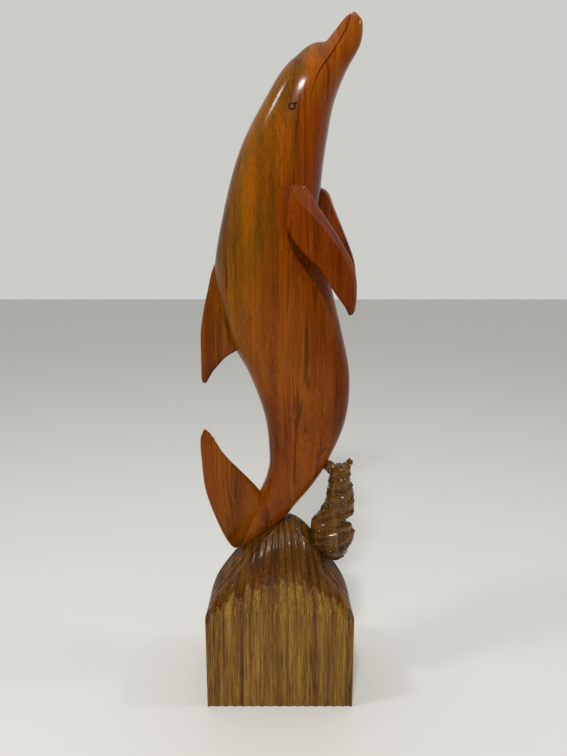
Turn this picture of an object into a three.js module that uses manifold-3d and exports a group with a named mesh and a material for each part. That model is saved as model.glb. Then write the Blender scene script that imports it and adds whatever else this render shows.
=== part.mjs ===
// A leaping dolphin carved in wood, standing on its tail on a fluted block with coral.
// Millimetres, +Z up. The origin is at the centre of the block's underside, +X is the way the
// dolphin's belly faces, and -Y is the front.

import * as THREE from 'three';
import Module from 'manifold-3d';
import { mergeVertices } from 'three/addons/utils/BufferGeometryUtils.js';

const wasm = await Module();
wasm.setup();

// Driving dimensions

const BASE_WIDTH = 236;
const BASE_DEPTH = 165;
const BLOCK_HEIGHT = 158;        // the straight-sided part of the base, at its front
const REAR_DROP = 30;            // how much lower that is at its back
const DOME_HEIGHT = 297;         // the peak of the dome over the floor
const FLUTE_COUNT_WIDE = 16;
const FLUTE_COUNT_DEEP = 10;
const FLUTE_DEPTH_BLOCK = 1.3;
const FLUTE_DEPTH_DOME = 3.2;

const DOLPHIN_HEIGHT = 820;      // from the tail's lowest point to the end of the beak
const SEAT_DEPTH = 55;           // how far the tail's lowest point is below the dome's peak
const JOINT_GAP = 0.3;           // between the dolphin and what it is seated in

const MOUTH_GROOVE = 2.2;        // radius of the cut along the lips
const EYE_RADIUS = 5;            // to the middle of the ring cut round the eye
const EYE_GROOVE = 1.3;

const CORAL_HEIGHT = 178;        // from its foot to the tip of its right prong
const CORAL_FOOT = 73;           // how far its foot is below the dome's peak
const CORAL_ASIDE = 88;          // from the middle of the base to the middle of its foot
const CORAL_GOUGE = 2.2;         // the depth of the marks cut in it

const tailHeight = DOME_HEIGHT - SEAT_DEPTH;
const coralFootHeight = DOME_HEIGHT - CORAL_FOOT;

// Colours

const varnishedWood = new THREE.MeshStandardMaterial({ color: 0x8f3d14, roughness: 0.28 });
const carvedWood = new THREE.MeshStandardMaterial({ color: 0x5c3a1c, roughness: 0.5 });

// Solids and meshes

function welded(geometry) {
  const bare = geometry.clone();
  bare.deleteAttribute('normal');
  bare.deleteAttribute('uv');
  return mergeVertices(bare, 1e-4);
}

function solidOf(geometry) {
  const merged = welded(geometry);
  return new wasm.Manifold(new wasm.Mesh({
    numProp: 3,
    vertProperties: new Float32Array(merged.attributes.position.array),
    triVerts: new Uint32Array(merged.index.array),
  }));
}

function meshOf(name, solid, material) {
  const { vertProperties, triVerts } = solid.getMesh();
  const geometry = new THREE.BufferGeometry();
  geometry.setAttribute('position', new THREE.BufferAttribute(new Float32Array(vertProperties), 3));
  geometry.setIndex(new THREE.BufferAttribute(new Uint32Array(triVerts), 1));
  geometry.computeVertexNormals();
  const mesh = new THREE.Mesh(geometry, material);
  mesh.name = name;
  return mesh;
}

function signedVolume(points, faces) {
  let sum = 0;
  for (const [a, b, c] of faces) {
    sum += points[a].dot(new THREE.Vector3().crossVectors(points[b], points[c]));
  }
  return sum / 6;
}

// A closed solid from its points and its faces, whichever way round they were listed.
function closedSolid(points, faces) {
  const flipped = signedVolume(points, faces) < 0;
  const geometry = new THREE.BufferGeometry();
  geometry.setAttribute('position', new THREE.Float32BufferAttribute(
    points.flatMap((p) => [p.x, p.y, p.z]), 3));
  geometry.setIndex(faces.flatMap(([a, b, c]) => (flipped ? [a, c, b] : [a, b, c])));
  return solidOf(geometry);
}

// The faces between rings that all have as many points.
function ringFaces(ringCount, sides) {
  const faces = [];
  for (let r = 0; r + 1 < ringCount; r += 1) {
    for (let i = 0; i < sides; i += 1) {
      const a = r * sides + i;
      const b = r * sides + (i + 1) % sides;
      faces.push([a, b, a + sides], [b, b + sides, a + sides]);
    }
  }
  return faces;
}

// A closed skin over rings, with a pole at each end.
function loft(rings, startPole, endPole) {
  const sides = rings[0].length;
  const points = rings.flat();
  const faces = ringFaces(rings.length, sides);
  const start = points.push(startPole) - 1;
  const end = points.push(endPole) - 1;
  const last = (rings.length - 1) * sides;
  for (let i = 0; i < sides; i += 1) {
    const next = (i + 1) % sides;
    faces.push([start, next, i], [end, last + i, last + next]);
  }
  return closedSolid(points, faces);
}

function centreOf(points) {
  const sum = new THREE.Vector3();
  for (const p of points) sum.add(p);
  return sum.divideScalar(points.length);
}

// A value that follows a list of stations smoothly, t from 0 to 1.
function along(list) {
  const curve = new THREE.CatmullRomCurve3(
    list.map((v) => new THREE.Vector3(...v)), false, 'catmullrom', 0.5);
  return (t) => curve.getPoint(THREE.MathUtils.clamp(t, 0, 1));
}

// The dolphin's grid: its figure is drawn in units, seen from the front, from the tail's
// lowest point up to the end of the beak.

const GRID_FOOT = 242;
const GRID_TOP = 1062;
const BEAK_END = [107.5, GRID_TOP];
const TAIL_END = [-74, GRID_FOOT + 2];
const unit = DOLPHIN_HEIGHT / (GRID_TOP - GRID_FOOT);

function onGrid(x, z, y = 0) {
  return new THREE.Vector3(x * unit, y * unit, tailHeight + (z - GRID_FOOT) * unit);
}

// Body stations from beak to tail: back x and z, belly x and z, half thickness, and the
// twist in degrees that brings the belly towards the front.
const BODY_STATIONS = [
  [101, 1059, 113, 1056, 6, 12],
  [92, 1052, 119, 1045, 12, 12],
  [74, 1031, 116, 1018, 18, 12],
  [53, 1008, 97, 985, 27, 12],
  [10, 991, 80, 943, 42, 12],
  [-20, 945, 71, 897, 50, 11],
  [-59, 873, 63, 835, 56, 9],
  [-86, 780, 60, 765, 59, 6],
  [-100, 690, 75, 694, 60, 3],
  [-83, 605, 96, 612, 57, 0],
  [-49, 541, 111, 536, 52, -2],
  [-24, 470, 106, 463, 44, -4],
  [-17, 405, 80, 396, 35, -6],
  [-20, 375, 57, 357, 31, -7],
  [-30, 347, 27, 320, 28, -8],
  [-57, 297, -17, 265, 22, -9],
  [-77, 259, -58, 242, 11, -10],
];
const SECTION_POWER = 2.25;
const BODY_RINGS = 38;
const BODY_SIDES = 28;

const backLine = along(BODY_STATIONS.map((s) => [s[0], 0, s[1]]));
const bellyLine = along(BODY_STATIONS.map((s) => [s[2], 0, s[3]]));
const fullness = along(BODY_STATIONS.map((s) => [s[4], s[5], 0]));

// Where the body is at share t of the way from beak to tail: its centre, its belly and side
// directions with the twist in them, and its half sizes.
function bodyFrame(t) {
  const back = backLine(t);
  const belly = bellyLine(t);
  const [half, twist] = fullness(t).toArray();
  const turn = THREE.MathUtils.degToRad(twist);
  const across = belly.clone().sub(back).normalize();
  const side = new THREE.Vector3(0, 1, 0);
  return {
    centre: back.clone().add(belly).multiplyScalar(0.5),
    toBelly: across.clone().multiplyScalar(Math.cos(turn)).addScaledVector(side, -Math.sin(turn)),
    toSide: side.clone().multiplyScalar(Math.cos(turn)).addScaledVector(across, Math.sin(turn)),
    depth: belly.distanceTo(back) / 2,
    half,
  };
}

function power(value) {
  return Math.sign(value) * Math.abs(value) ** (2 / SECTION_POWER);
}

// A point on the body's skin. The angle starts at the belly; sine is towards the far side.
function skinPoint(t, angle, grow = 0) {
  const frame = bodyFrame(t);
  const swell = grow / unit;
  const p = frame.centre.clone()
    .addScaledVector(frame.toBelly, (frame.depth + swell) * power(Math.cos(angle)))
    .addScaledVector(frame.toSide, (frame.half + swell) * power(Math.sin(angle)));
  return onGrid(p.x, p.z, p.y);
}

function bodyRing(t, grow) {
  return Array.from({ length: BODY_SIDES },
    (_, i) => skinPoint(t, (i / BODY_SIDES) * 2 * Math.PI, grow));
}

function makeBody(grow = 0) {
  const rings = Array.from({ length: BODY_RINGS }, (_, r) => bodyRing(r / (BODY_RINGS - 1), grow));
  const beakEnd = onGrid(...BEAK_END).add(new THREE.Vector3(0, 0, grow));
  const tailEnd = onGrid(...TAIL_END).add(new THREE.Vector3(-grow, 0, -grow));
  return loft(rings, beakEnd, tailEnd);
}

// The melon, the rounded forehead that rises over the beak in a crease.
const MELON_STATION = 0.22;
const MELON_PLACE = [36, 968, 3];
const MELON_HALF_SIZES = [61, 31, 34];     // towards the beak, the belly and the side

function makeMelon() {
  const frame = bodyFrame(MELON_STATION);
  const toBeak = new THREE.Vector3().crossVectors(frame.toBelly, frame.toSide);
  const [x, z, y] = MELON_PLACE;
  const [length, height, width] = MELON_HALF_SIZES.map((half) => half * unit);
  const placed = new THREE.Matrix4().makeBasis(
    toBeak.multiplyScalar(length),
    frame.toBelly.multiplyScalar(height),
    frame.toSide.multiplyScalar(width),
  ).setPosition(onGrid(x, z, y));
  return solidOf(new THREE.SphereGeometry(1, 24, 14).applyMatrix4(placed));
}

// Fins: a blade is a loft from root to tip. A section's points are shares of the chord from
// the leading edge, and shares of the half thickness, outwards first.

const FLAT_BLADE = [
  [0, -0.1], [0.03, 0.2], [0.3, 0.97], [0.36, 1], [0.92, 1], [0.98, 0.9],
  [1, 0.7], [0.98, -0.7], [0.6, -1], [0.12, -0.8],
];
const EVEN_BLADE = [
  [0, 0], [0.04, 0.6], [0.2, 0.95], [0.55, 1], [0.9, 0.6],
  [1, 0], [0.9, -0.6], [0.55, -1], [0.2, -0.95], [0.04, -0.6],
];
const BLADE_RINGS = 15;

function makeBlade(stations, section, outward, grow = 0) {
  const lead = along(stations.map((s) => s.lead));
  const trail = along(stations.map((s) => s.trail));
  const half = along(stations.map((s) => [s.half, 0, 0]));
  const rings = Array.from({ length: BLADE_RINGS }, (_, r) => {
    const t = r / (BLADE_RINGS - 1);
    const front = lead(t);
    const chord = trail(t).sub(front);
    const swell = grow / unit;
    const stretch = 2 * swell / chord.length();
    return section.map(([u, v]) => {
      const p = front.clone().addScaledVector(chord, u + (u - 0.5) * stretch);
      p.y += outward * v * (half(t).x + swell);
      return onGrid(p.x, p.z, p.y);
    });
  });
  return loft(rings, centreOf(rings[0]), centreOf(rings[rings.length - 1]));
}

function makeDorsalFin() {
  const levels = [
    [716, -97, -60, 3], [698, -105, -56, 6], [669, -112, -50, 8], [640, -119, -48, 9],
    [610, -124, -50, 9], [590, -125, -56, 9], [577, -125, -66, 8], [566, -125, -84, 8],
    [553, -125, -97, 7], [541, -125, -107, 6], [531, -125, -113, 5], [524, -123.5, -117, 3],
  ];
  const stations = levels.map(([z, front, rear, half]) => (
    { lead: [front, 0, z], trail: [rear, 0, z], half }));
  return makeBlade(stations, EVEN_BLADE, 1);
}

// A flipper, drawn as the near one: leading edge x and z, trailing edge x and z, how far its
// middle stands out, and half its thickness.
const FLIPPER_STATIONS = [
  [21, 820, 15, 806, 50, 8],
  [33, 817, 14, 785, 47, 19],
  [45, 806, 12, 757, 47, 24],
  [57, 789, 22, 738, 50, 23],
  [73, 765, 38, 720, 56, 19],
  [90, 738, 55, 704, 63, 14],
  [103, 714, 70, 683, 67, 11],
  [110, 689, 83, 664, 70, 9],
  [111, 662, 94, 649, 71, 7],
  [108, 643, 101, 638, 72, 4],
];
const FLIPPER_ROOT = [25, 800];

// The far flipper is the same one carried nearer to the belly's edge by the body's twist.
// There the body is thinner, so its root starts further in.
const FAR_FLIPPER_SHIFT = [30, 10];
const FAR_FLIPPER_TURN = 7;
const FAR_FLIPPER_INSET = 30;

function makeFlipper(outward) {
  const far = outward > 0;
  const turn = THREE.MathUtils.degToRad(far ? FAR_FLIPPER_TURN : 0);
  const [shiftX, shiftZ] = far ? FAR_FLIPPER_SHIFT : [0, 0];
  const last = FLIPPER_STATIONS.length - 1;
  const place = (x, z, out) => {
    const dx = x - FLIPPER_ROOT[0];
    const dz = z - FLIPPER_ROOT[1];
    return [
      FLIPPER_ROOT[0] + shiftX + dx * Math.cos(turn) + dz * Math.sin(turn),
      outward * out,
      FLIPPER_ROOT[1] + shiftZ - dx * Math.sin(turn) + dz * Math.cos(turn),
    ];
  };
  const stations = FLIPPER_STATIONS.map(([leadX, leadZ, trailX, trailZ, out, half], i) => {
    const inset = far ? FAR_FLIPPER_INSET * (1 - i / last) ** 1.4 : 0;
    return {
      lead: place(leadX, leadZ, out - inset),
      trail: place(trailX, trailZ, out - inset),
      half,
    };
  });
  return makeBlade(stations, FLAT_BLADE, outward);
}

// A fluke, drawn as the near one from its root in the tail to its tip: leading edge x and z,
// trailing edge x and z, how far it stands out, and half its thickness.
const FLUKE_STATIONS = [
  [-20, 318, -62, 246, 3, 12],
  [-33, 346, -76, 244, 12, 13],
  [-48, 369, -89, 268, 24, 12],
  [-63, 390, -101, 304, 36, 10],
  [-77, 409, -111, 340, 46, 8],
  [-88, 426, -117, 372, 54, 7],
  [-98, 446, -119, 410, 61, 6],
  [-105, 459, -120, 446, 65, 4],
  [-110, 464, -116, 461, 66, 2],
];
const FAR_FLUKE_DROP = 80;       // how much lower the far fluke's tip is

function makeFluke(outward, grow = 0) {
  const last = FLUKE_STATIONS.length - 1;
  const stations = FLUKE_STATIONS.map(([leadX, leadZ, trailX, trailZ, out, half], i) => {
    const drop = outward > 0 ? FAR_FLUKE_DROP : 0;
    const leadDrop = drop * (i / last) ** 0.6;
    const trailDrop = 0.6 * drop * (Math.max(i - 1, 0) / (last - 1)) ** 0.6;
    return {
      lead: [leadX, outward * out, leadZ - leadDrop],
      trail: [trailX, outward * out, trailZ - trailDrop],
      half,
    };
  });
  return makeBlade(stations, EVEN_BLADE, outward, grow);
}

// The line of the lips: share of the way from beak to tail, and the angle from the belly.
const LIP_STATIONS = [
  [0.03, 118], [0.044, 114], [0.099, 104], [0.147, 99], [0.193, 87], [0.23, 78],
  [0.257, 75], [0.281, 74], [0.3, 73],
];
const LIP_STEPS = 16;
const LIP_SIDES = 5;

function makeLipCut(outward) {
  const line = along(LIP_STATIONS.map(([t, angle]) => [t, angle, 0]));
  const rings = Array.from({ length: LIP_STEPS }, (_, step) => {
    const share = step / (LIP_STEPS - 1);
    const [t, angle] = line(share).toArray();
    const turn = outward * THREE.MathUtils.degToRad(angle);
    const fade = Math.min(1, 0.3 + 3 * (1 - share));
    const middle = skinPoint(t, turn);
    const outer = skinPoint(t, turn, 1).sub(middle).normalize();
    const lengthways = skinPoint(t + 0.01, turn).sub(skinPoint(t - 0.01, turn)).normalize();
    const upwards = new THREE.Vector3().crossVectors(outer, lengthways).normalize();
    return Array.from({ length: LIP_SIDES }, (__, i) => {
      const around = (i / LIP_SIDES) * 2 * Math.PI;
      return middle.clone()
        .addScaledVector(outer, MOUTH_GROOVE * fade * Math.cos(around))
        .addScaledVector(upwards, MOUTH_GROOVE * fade * Math.sin(around));
    });
  });
  return loft(rings, centreOf(rings[0]), centreOf(rings[rings.length - 1]));
}

const EYE_STATION = 0.314;
const EYE_ANGLE = 89;

function makeEyeCut(outward) {
  const turn = outward * THREE.MathUtils.degToRad(EYE_ANGLE);
  const middle = skinPoint(EYE_STATION, turn);
  const outer = skinPoint(EYE_STATION, turn, 1).sub(middle).normalize();
  const ring = new THREE.TorusGeometry(EYE_RADIUS, EYE_GROOVE, 6, 14);
  ring.applyQuaternion(
    new THREE.Quaternion().setFromUnitVectors(new THREE.Vector3(0, 0, 1), outer));
  ring.translate(middle.x, middle.y, middle.z);
  return solidOf(ring);
}

function makeDolphin() {
  let solid = makeBody().add(makeMelon()).add(makeDorsalFin());
  for (const outward of [-1, 1]) {
    solid = solid.add(makeFlipper(outward)).add(makeFluke(outward));
  }
  for (const outward of [-1, 1]) {
    solid = solid.subtract(makeLipCut(outward)).subtract(makeEyeCut(outward));
  }
  return solid;
}

function makeSeat() {
  return makeBody(JOINT_GAP).add(makeFluke(-1, JOINT_GAP)).add(makeFluke(1, JOINT_GAP));
}

// The base: a block whose top is rounded into a dome. The dome's outline, seen from the front:
// shares of its height, and how far out its left and right sides are, in half widths.
const DOME_OUTLINE = [
  [0, -1, 1], [0.08, -0.995, 0.99], [0.17, -0.97, 0.965], [0.28, -0.91, 0.9],
  [0.4, -0.81, 0.81], [0.52, -0.69, 0.7], [0.64, -0.55, 0.6], [0.75, -0.41, 0.5],
  [0.85, -0.25, 0.4], [0.94, -0.08, 0.26], [1, 0.07, 0.09],
];
const DOME_FULLNESS = 2.2;       // how upright its front stays, where 2 is a round arch
const PLAN_ROUNDNESS = 2.4;      // of its upper sections seen from above, 2 is an ellipse
const ROUND_AT = 0.5;            // the share of its height from which they are that round
const DOME_STEPS = [0, 0.12, 0.25, 0.4, 0.55, 0.7, 0.84, 0.95];
const POINTS_PER_FLUTE = 3;

const domeOutline = along(DOME_OUTLINE);
const halfWidth = BASE_WIDTH / 2;
const halfDepth = BASE_DEPTH / 2;
const fluteTotal = 2 * (FLUTE_COUNT_WIDE + FLUTE_COUNT_DEEP);

// A point on the wall's outline, counted in flutes from the middle of the right side.
function wallPoint(flutes) {
  const [wide, deep] = [FLUTE_COUNT_WIDE, FLUTE_COUNT_DEEP];
  const f = (flutes + fluteTotal) % fluteTotal;
  if (f < deep / 2) return [1, 2 * f / deep];
  if (f < deep / 2 + wide) return [1 - 2 * (f - deep / 2) / wide, 1];
  const g = f - deep / 2 - wide;
  if (g < deep) return [-1, 1 - 2 * g / deep];
  if (g < deep + wide) return [-1 + 2 * (g - deep) / wide, -1];
  return [1, -1 + 2 * (g - deep - wide) / deep];
}

// A point of the plain dome, from the top of the wall at climb 0 to the peak at climb 1.
function domePoint(flutes, climb) {
  const [across, deep] = wallPoint(flutes);
  const [rise, left, right] = domeOutline(climb).toArray();
  const back = Math.max(1 - rise ** DOME_FULLNESS, 0) ** (1 / DOME_FULLNESS);
  const square = (Math.abs(across) ** PLAN_ROUNDNESS + Math.abs(deep) ** PLAN_ROUNDNESS)
    ** (-1 / PLAN_ROUNDNESS);
  const round = THREE.MathUtils.lerp(1, square, THREE.MathUtils.smoothstep(rise, 0, ROUND_AT));
  const wallTop = BLOCK_HEIGHT - REAR_DROP * (deep + 1) / 2;
  return new THREE.Vector3(
    halfWidth * ((left + right) / 2 + ((right - left) / 2) * across * round),
    halfDepth * deep * round * back,
    THREE.MathUtils.lerp(wallTop, DOME_HEIGHT, rise),
  );
}

// The same point cut back into its flute, as deep as the room between its ridges allows.
function flutedPoint(flutes, climb) {
  const p = domePoint(flutes, climb);
  const before = domePoint(flutes - 0.5, climb);
  const after = domePoint(flutes + 0.5, climb);
  const aside = after.clone().sub(before);
  const upwards = domePoint(flutes, Math.min(climb + 0.03, 1)).sub(
    domePoint(flutes, Math.max(climb - 0.03, 0)));
  const inwards = new THREE.Vector3().crossVectors(upwards, aside).normalize();
  const deepening = THREE.MathUtils.smoothstep(climb, 0.05, 0.4);
  const depth = Math.min(
    THREE.MathUtils.lerp(FLUTE_DEPTH_BLOCK, FLUTE_DEPTH_DOME, deepening), aside.length() * 0.24);
  const place = flutes - Math.floor(flutes);
  return p.addScaledVector(inwards, depth * (1 - (2 * place - 1) ** 2));
}

function makeBlock() {
  const sides = fluteTotal * POINTS_PER_FLUTE;
  const rings = DOME_STEPS.map((climb) => Array.from({ length: sides },
    (_, i) => flutedPoint(i / POINTS_PER_FLUTE, climb)));
  rings.unshift(rings[0].map((p) => new THREE.Vector3(p.x, p.y, 0)));
  const points = rings.flat();
  const faces = ringFaces(rings.length, sides);
  const under = points.push(new THREE.Vector3(0, 0, 0)) - 1;
  const last = (rings.length - 1) * sides;
  for (let i = 0; i < sides; i += 1) faces.push([under, (i + 1) % sides, i]);
  // The top ring is closed across, each point to the one that faces it.
  for (let i = 0; i < sides / 2; i += 1) {
    const facing = last + (sides - i) % sides;
    const nextFacing = last + sides - i - 1;
    if (i > 0) faces.push([last + i, last + i + 1, facing]);
    if (i + 1 < sides / 2) faces.push([last + i + 1, nextFacing, facing]);
  }
  return closedSolid(points, faces);
}

// The coral, drawn in units from the middle of its foot: a rough column whose sections go
// by height, left, right and half depth, and a prong on either side of its top.
const CORAL_GRID = 178;
const CORAL_MIDDLE = -11;        // nearer to the front than the ridge
const CORAL_SECTIONS = [
  [2, -9, 15, 12], [12, -22, 23, 24], [22, -30, 27, 30], [34, -36, 32, 34], [46, -38, 37, 35],
  [59, -38, 33, 33], [68, -36, 23, 29], [76, -31, 23, 27], [82, -26, 34, 26], [92, -20, 35, 25],
  [106, -14, 35, 24], [124, -11, 33, 22], [141, -9, 28, 20], [156, -7, 28, 18],
  [166, -2, 23, 14],
];
const CORAL_RINGS = 24;
const CORAL_SIDES = 24;
// Middle x, y and z, half sizes the same way, and a lean in degrees.
const CORAL_PRONGS = [[-6, 3, 160, 19, 11, 10, 42], [24, -1, 167, 6, 8, 11, 8]];
const PRONG_FINENESS = 2;
const coralUnit = CORAL_HEIGHT / CORAL_GRID;

// How far the surface is cut in at a point, in units: swirling gouge marks.
function gouge(x, y, z) {
  const swirl = Math.sin(x / 4.6 + 2.2 * Math.sin(z / 11)) * Math.cos(y / 5.2 + z / 8.5);
  return CORAL_GOUGE * swirl;
}

function onCoral(x, y, z) {
  return new THREE.Vector3(
    CORAL_ASIDE + x * coralUnit, (CORAL_MIDDLE + y) * coralUnit, coralFootHeight + z * coralUnit);
}

function makeColumn() {
  const edges = along(CORAL_SECTIONS.map(([z, left, right]) => [z, left, right]));
  const depths = along(CORAL_SECTIONS.map((section) => [section[3], 0, 0]));
  const rings = Array.from({ length: CORAL_RINGS }, (_, r) => {
    const t = r / (CORAL_RINGS - 1);
    const [z, left, right] = edges(t).toArray();
    return Array.from({ length: CORAL_SIDES }, (__, i) => {
      const angle = (i / CORAL_SIDES) * 2 * Math.PI;
      const x = (left + right) / 2 + ((right - left) / 2) * Math.cos(angle);
      const y = depths(t).x * Math.sin(angle);
      const cut = gouge(x, y, z);
      return onCoral(x - cut * Math.cos(angle), y - cut * Math.sin(angle), z);
    });
  });
  return loft(rings, centreOf(rings[0]), centreOf(rings[rings.length - 1]));
}

function makeProng([x, y, z, halfX, halfY, halfZ, lean]) {
  const ball = new THREE.IcosahedronGeometry(1, PRONG_FINENESS);
  ball.scale(halfX * coralUnit, halfY * coralUnit, halfZ * coralUnit);
  ball.rotateY(THREE.MathUtils.degToRad(lean));
  const { x: atX, y: atY, z: atZ } = onCoral(x, y, z);
  ball.translate(atX, atY, atZ);
  return solidOf(ball);
}

function makeCoral() {
  return CORAL_PRONGS.map(makeProng).reduce((sum, prong) => sum.add(prong), makeColumn());
}

// The whole sculpture

const sculpture = new THREE.Group();
sculpture.add(
  meshOf('dolphin', makeDolphin(), varnishedWood),
  meshOf('coral_base', makeBlock().add(makeCoral()).subtract(makeSeat()), carvedWood),
);

export default sculpture;
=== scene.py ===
"""A leaping dolphin carved in wood, standing on its tail on a fluted block with coral.

Metres, +Z up. The origin is at the middle of the block's underside, +X is the way the dolphin's
belly faces and -Y is the front. The drawings below are in millimetres.
"""

import math

import bmesh
import bpy
from mathutils import Matrix, Vector, noise


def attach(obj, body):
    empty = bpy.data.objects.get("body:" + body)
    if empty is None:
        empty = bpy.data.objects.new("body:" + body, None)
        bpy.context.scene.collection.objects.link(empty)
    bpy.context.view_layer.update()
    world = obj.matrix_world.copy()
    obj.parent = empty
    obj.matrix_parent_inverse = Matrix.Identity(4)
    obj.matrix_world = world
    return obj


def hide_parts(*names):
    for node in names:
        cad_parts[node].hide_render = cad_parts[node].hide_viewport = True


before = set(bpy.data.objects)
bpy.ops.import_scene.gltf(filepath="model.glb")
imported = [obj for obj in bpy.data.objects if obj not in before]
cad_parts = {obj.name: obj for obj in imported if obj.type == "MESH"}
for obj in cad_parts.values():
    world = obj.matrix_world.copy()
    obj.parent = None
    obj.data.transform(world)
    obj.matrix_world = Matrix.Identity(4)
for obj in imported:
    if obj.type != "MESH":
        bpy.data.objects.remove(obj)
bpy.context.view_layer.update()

MM = 0.001


# The studio: camera, floor and lights. The camera looks down by some degrees.
CAMERA_PLACE, CAMERA_DOWN = (0.006, -0.8915, 0.7046), 11


def make_camera():
    bpy.ops.object.camera_add(
        location=CAMERA_PLACE, rotation=(math.radians(90 - CAMERA_DOWN), 0, 0))
    camera = bpy.context.object
    camera.name = "photo_camera"
    camera.data.lens = 27.05
    camera.data.sensor_width = 36
    camera.data.clip_start = 0.05
    camera.data.clip_end = 40
    bpy.context.scene.camera = camera
    bpy.context.scene.view_settings.view_transform = "Standard"


def make_floor():
    bpy.ops.mesh.primitive_plane_add(size=24, location=(0, 0, 0))
    floor = bpy.context.object
    floor.name = "pale_floor"
    material = bpy.data.materials.new("pale_floor")
    material.use_nodes = True
    shader = material.node_tree.nodes["Principled BSDF"]
    shader.inputs["Base Color"].default_value = (0.72, 0.71, 0.69, 1)
    shader.inputs["Roughness"].default_value = 0.7
    floor.data.materials.append(material)


# Name, place, what it is aimed at, its width and height, and its power in watts.
LIGHTS = [
    ("left_ceiling_lamp", (-1.45, -0.5, 2.5), (0, 0, 0.7), 0.25, 0.25, 12),
    ("front_ceiling_lamp", (-0.2, -1.75, 2.5), (0, 0, 0.6), 0.3, 0.16, 37),
    ("right_ceiling_lamp", (1.6, -0.15, 2.1), (0, 0, 0.6), 0.25, 0.25, 6),
]
# How bright the room is in front of the sculpture, behind it and overhead.
FRONT_BRIGHTNESS, BACK_BRIGHTNESS, CEILING_BRIGHTNESS = 0.12, 0.62, 1.05


def make_world():
    """A pale room: bright behind the sculpture and above it, dimmer on the front."""
    world = bpy.data.worlds.new("pale_room")
    world.use_nodes = True
    nodes, links = world.node_tree.nodes, world.node_tree.links
    background = nodes["Background"]
    background.inputs["Color"].default_value = (0.97, 0.97, 0.93, 1)
    direction = nodes.new("ShaderNodeTexCoord")
    parts = nodes.new("ShaderNodeSeparateXYZ")
    links.new(direction.outputs["Generated"], parts.inputs["Vector"])

    def faded(axis, low, high, bright):
        fade = nodes.new("ShaderNodeMapRange")
        fade.interpolation_type = "SMOOTHSTEP"
        for name, value in (("From Min", low), ("From Max", high),
                            ("To Min", FRONT_BRIGHTNESS), ("To Max", bright)):
            fade.inputs[name].default_value = value
        links.new(parts.outputs[axis], fade.inputs["Value"])
        return fade.outputs["Result"]

    brighter = nodes.new("ShaderNodeMath")
    brighter.operation = "MAXIMUM"
    links.new(faded("Y", -0.8, 0.5, BACK_BRIGHTNESS), brighter.inputs[0])
    links.new(faded("Z", 0.7, 1.0, CEILING_BRIGHTNESS), brighter.inputs[1])
    links.new(brighter.outputs["Value"], background.inputs["Strength"])
    bpy.context.scene.world = world


def make_lights():
    make_world()
    for name, place, target, width, height, power in LIGHTS:
        bpy.ops.object.light_add(type="AREA", location=place)
        light = bpy.context.object
        light.name = name
        light.rotation_euler = (Vector(target) - Vector(place)).to_track_quat(
            "-Z", "Y").to_euler()
        light.data.shape = "RECTANGLE"
        light.data.size = width
        light.data.size_y = height
        light.data.energy = power


# Carving tools

def deselect_all():
    bpy.ops.object.select_all(action="DESELECT")


def choose(piece):
    deselect_all()
    piece.select_set(True)
    bpy.context.view_layer.objects.active = piece


def along(stations, share):
    """The row of numbers at a share of the way through a list, followed smoothly."""
    last = len(stations) - 1
    place = min(max(share, 0.0), 1.0) * last
    i = min(int(place), last - 1)
    w = place - i

    def row(k):
        if k < 0:
            return [2 * a - b for a, b in zip(stations[0], stations[1])]
        if k > last:
            return [2 * a - b for a, b in zip(stations[last], stations[last - 1])]
        return stations[k]

    return [
        0.5 * (2 * b + (c - a) * w + (2 * a - 5 * b + 4 * c - d) * w * w
               + (3 * b - a - 3 * c + d) * w ** 3)
        for a, b, c, d in zip(row(i - 1), row(i), row(i + 1), row(i + 2))
    ]


def place_ring(mesh, before, after):
    """Moves the points that were just extruded from one section to the next."""
    bm = bmesh.from_edit_mesh(mesh)
    where = {tuple(round(c, 6) for c in p): q for p, q in zip(before, after)}
    for vert in bm.verts:
        if vert.select:
            vert.co = where[tuple(round(c, 6) for c in vert.co)]
    bmesh.update_edit_mesh(mesh)


def loft(name, rings):
    """A closed form: a round face is drawn, then extruded from section to section."""
    deselect_all()
    count = len(rings[0])
    bpy.ops.mesh.primitive_circle_add(vertices=count, radius=1, fill_type="NGON")
    piece = bpy.context.object
    piece.name = name
    for vert, p in zip(piece.data.vertices, rings[0]):
        vert.co = p
    bpy.ops.object.mode_set(mode="EDIT")
    bpy.ops.mesh.select_mode(type="FACE")
    bpy.ops.mesh.select_all(action="SELECT")
    for before, after in zip(rings, rings[1:]):
        bpy.ops.mesh.extrude_region_move()
        place_ring(piece.data, before, after)
    bpy.ops.mesh.select_all(action="SELECT")
    bpy.ops.mesh.normals_make_consistent(inside=False)
    bpy.ops.object.mode_set(mode="OBJECT")
    return piece


def join(name, pieces):
    deselect_all()
    for piece in pieces:
        piece.select_set(True)
    bpy.context.view_layer.objects.active = pieces[0]
    bpy.ops.object.join()
    pieces[0].name = name
    return pieces[0]


def finish_with(piece, kind, **settings):
    choose(piece)
    modifier = piece.modifiers.new(kind.lower(), kind)
    for key, value in settings.items():
        setattr(modifier, key, value)
    bpy.ops.object.modifier_apply(modifier=modifier.name)


def one_skin(piece, voxel, rounds):
    """Melts overlapping forms into one skin and sands their joints a little."""
    finish_with(piece, "REMESH", mode="VOXEL", voxel_size=voxel, adaptivity=0)
    finish_with(piece, "SMOOTH", factor=0.5, iterations=rounds)


def combine(piece, other, operation):
    """Joins a form to a piece crisply, or cuts it out, and clears the form away."""
    finish_with(piece, "BOOLEAN", operation=operation, solver="EXACT", object=other)
    bpy.data.objects.remove(other)


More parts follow.
